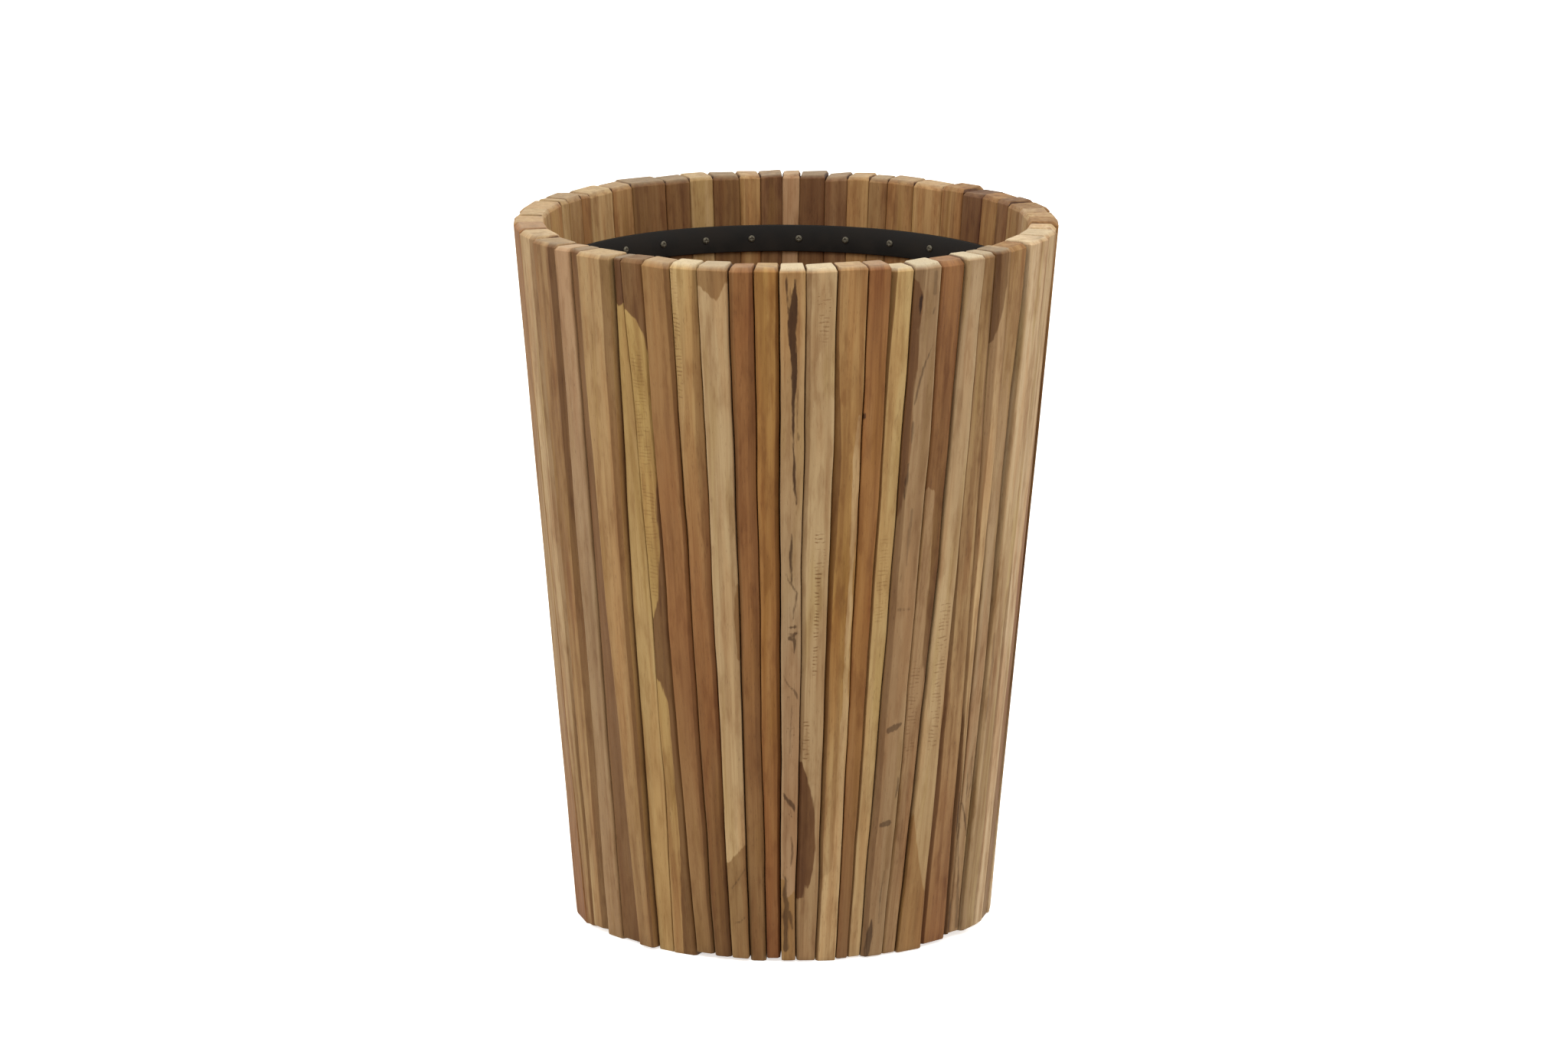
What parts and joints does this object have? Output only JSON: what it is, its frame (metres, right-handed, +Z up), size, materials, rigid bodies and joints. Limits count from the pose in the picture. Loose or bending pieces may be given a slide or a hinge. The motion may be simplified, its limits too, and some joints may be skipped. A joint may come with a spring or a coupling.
{
  "type": "planter",
  "caption": "Tall round planter that widens upwards, made of upright teak slats of uneven width round a flat iron hoop, open at the top.",
  "frame": {"origin": "the point on the ground under the middle of the planter", "axes": "+Z up along the planter's axis, -Y towards the front as pictured, +X to the viewer's right"},
  "size_m": [0.5011, 0.5034, 0.655],
  "materials": {
    "teak_pale": "sawn and oiled, pale sapwood",
    "teak_golden": "sawn and oiled, golden brown",
    "teak_reddish": "sawn and oiled, reddish brown",
    "teak_dark": "sawn and oiled, dark heartwood",
    "teak_floor": "planed, dry",
    "black_iron": "matt black paint",
    "zinc_steel": "dull zinc plating"
  },
  "bodies": {
    "root": {"slat_01": "teak_pale", "slat_02": "teak_pale", "slat_03": "teak_reddish", "slat_04": "teak_pale", "slat_05": "teak_dark", "slat_06": "teak_golden", "slat_07": "teak_golden", "slat_08": "teak_dark", "slat_09": "teak_golden", "slat_10": "teak_golden", "slat_11": "teak_dark", "slat_12": "teak_reddish", "slat_13": "teak_reddish", "slat_14": "teak_pale", "slat_15": "teak_pale", "slat_16": "teak_golden", "slat_17": "teak_reddish", "slat_18": "teak_pale", "slat_19": "teak_dark", "slat_20": "teak_reddish", "slat_21": "teak_pale", "slat_22": "teak_golden", "slat_23": "teak_dark", "slat_24": "teak_golden", "slat_25": "teak_pale", "slat_26": "teak_pale", "slat_27": "teak_pale", "slat_28": "teak_golden", "slat_29": "teak_pale", "slat_30": "teak_pale", "slat_47": "teak_reddish", "slat_48": "teak_dark", "slat_49": "teak_golden", "slat_50": "teak_pale", "slat_51": "teak_reddish", "slat_52": "teak_dark", "slat_53": "teak_pale", "slat_54": "teak_pale", "slat_55": "teak_golden", "slat_56": "teak_golden", "slats_31_32": "teak_dark", "slats_33_34": "teak_dark", "slats_35_36": "teak_dark", "slats_37_38": "teak_golden", "slats_39_40": "teak_golden", "slats_41_42": "teak_dark", "slats_43_44": "teak_reddish", "slats_45_46": "teak_dark", "rim_hoop": "black_iron", "rim_hoop_screws": "zinc_steel", "base_hoop": "black_iron", "base_hoop_screws": "zinc_steel", "floor_board_1": "teak_floor", "floor_board_2": "teak_floor", "floor_board_3": "teak_floor", "floor_board_4": "teak_floor", "floor_board_5": "teak_floor", "floor_batten_left": "teak_floor", "floor_batten_right": "teak_floor", "floor_screws": "zinc_steel"}
  },
  "joints": []
}
